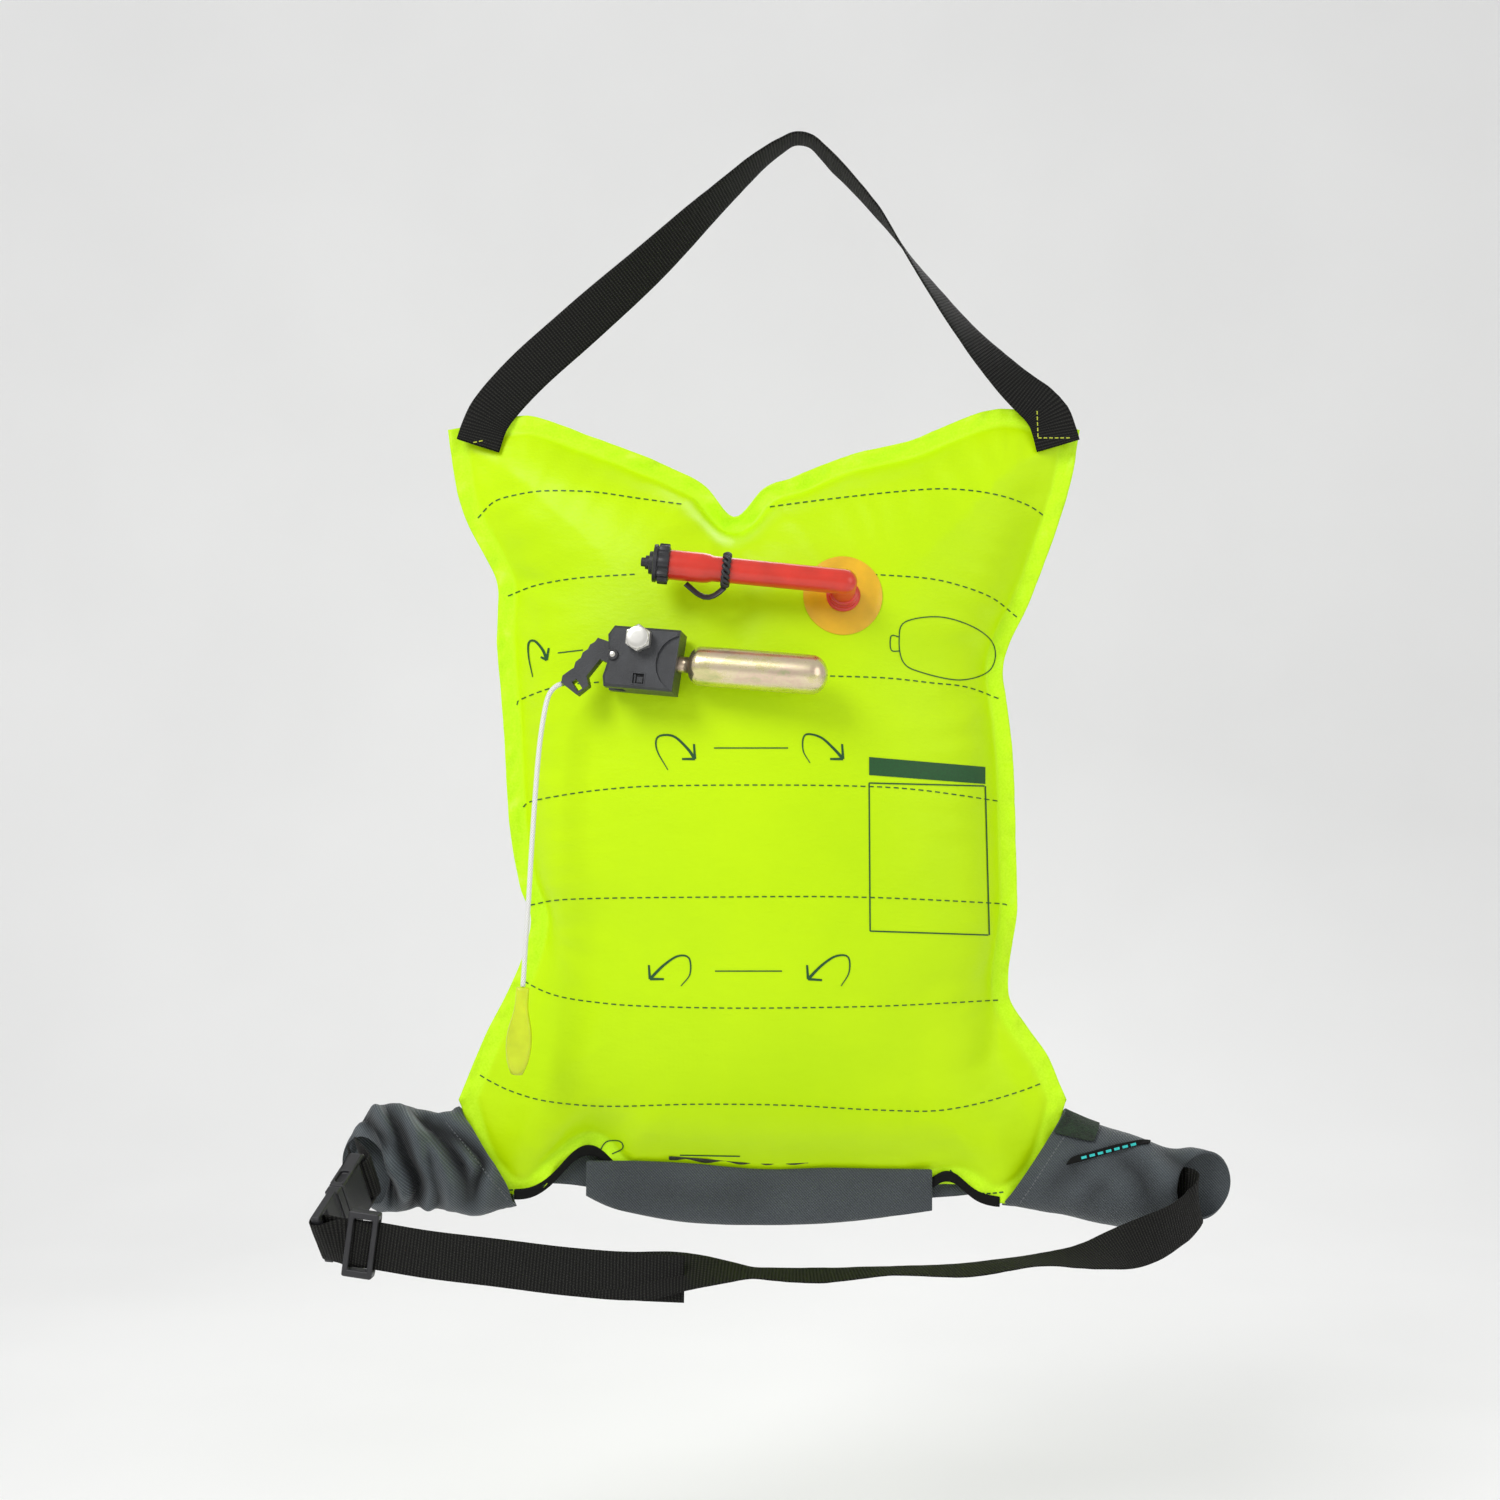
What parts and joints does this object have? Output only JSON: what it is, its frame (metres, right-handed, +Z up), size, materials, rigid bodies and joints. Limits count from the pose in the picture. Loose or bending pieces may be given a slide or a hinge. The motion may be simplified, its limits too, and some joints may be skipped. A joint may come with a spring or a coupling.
{
  "type": "inflatable belt pack",
  "caption": "Inflatable flotation belt pack, air cell full, hung by its neck strap over its opened pouch and buckled waist belt.",
  "frame": {"origin": "top of the neck strap's bend, where it lies on its peg", "axes": "+Z up, +X to the right seen from the front, -Y towards the viewer in front of the air cell"},
  "size_m": [0.5082, 0.1625, 0.6359],
  "materials": {
    "cell_film": "satin",
    "webbing": "matte",
    "grey_cloth": "matte",
    "black_plastic": "satin",
    "red_tube": "satin",
    "orange_film": "satin",
    "yellow_plastic": "satin",
    "white_cord": "matte",
    "zinc": "satin",
    "steel": "polished",
    "hook_tape": "matte"
  },
  "bodies": {
    "pack": {"bladder": "cell_film", "neck_strap": "webbing", "oral_patch": "orange_film", "oral_tube": "red_tube", "tube_cap": "black_plastic", "tube_tie": "black_plastic", "cap_tether": "black_plastic", "inflator_body": "black_plastic", "inflator_stem": "steel", "inflator_nut": "steel", "lever_pin": "steel", "co2_cylinder": "zinc", "pull_cord": "white_cord", "pull_handle": "yellow_plastic", "bottom_binding": "webbing", "center_panel": "grey_cloth", "hook_strip": "hook_tape", "back_band": "grey_cloth", "left_wing": "grey_cloth", "right_wing": "grey_cloth", "wing_label": "webbing", "hook_tab": "hook_tape", "buckle_web": "webbing", "waist_belt": "webbing", "buckle_plug": "black_plastic", "buckle_receiver": "black_plastic", "strap_slider": "black_plastic"},
    "lever": {"inflator_lever": "black_plastic"}
  },
  "joints": [
    {"name": "lever_hinge", "type": "hinge", "parent": "pack", "child": "lever", "pos_m": [-0.10152, -0.06017, -0.29663], "axis": [-0.1212, -0.9871, 0.1045], "range_deg": [-15, 45]}
  ]
}
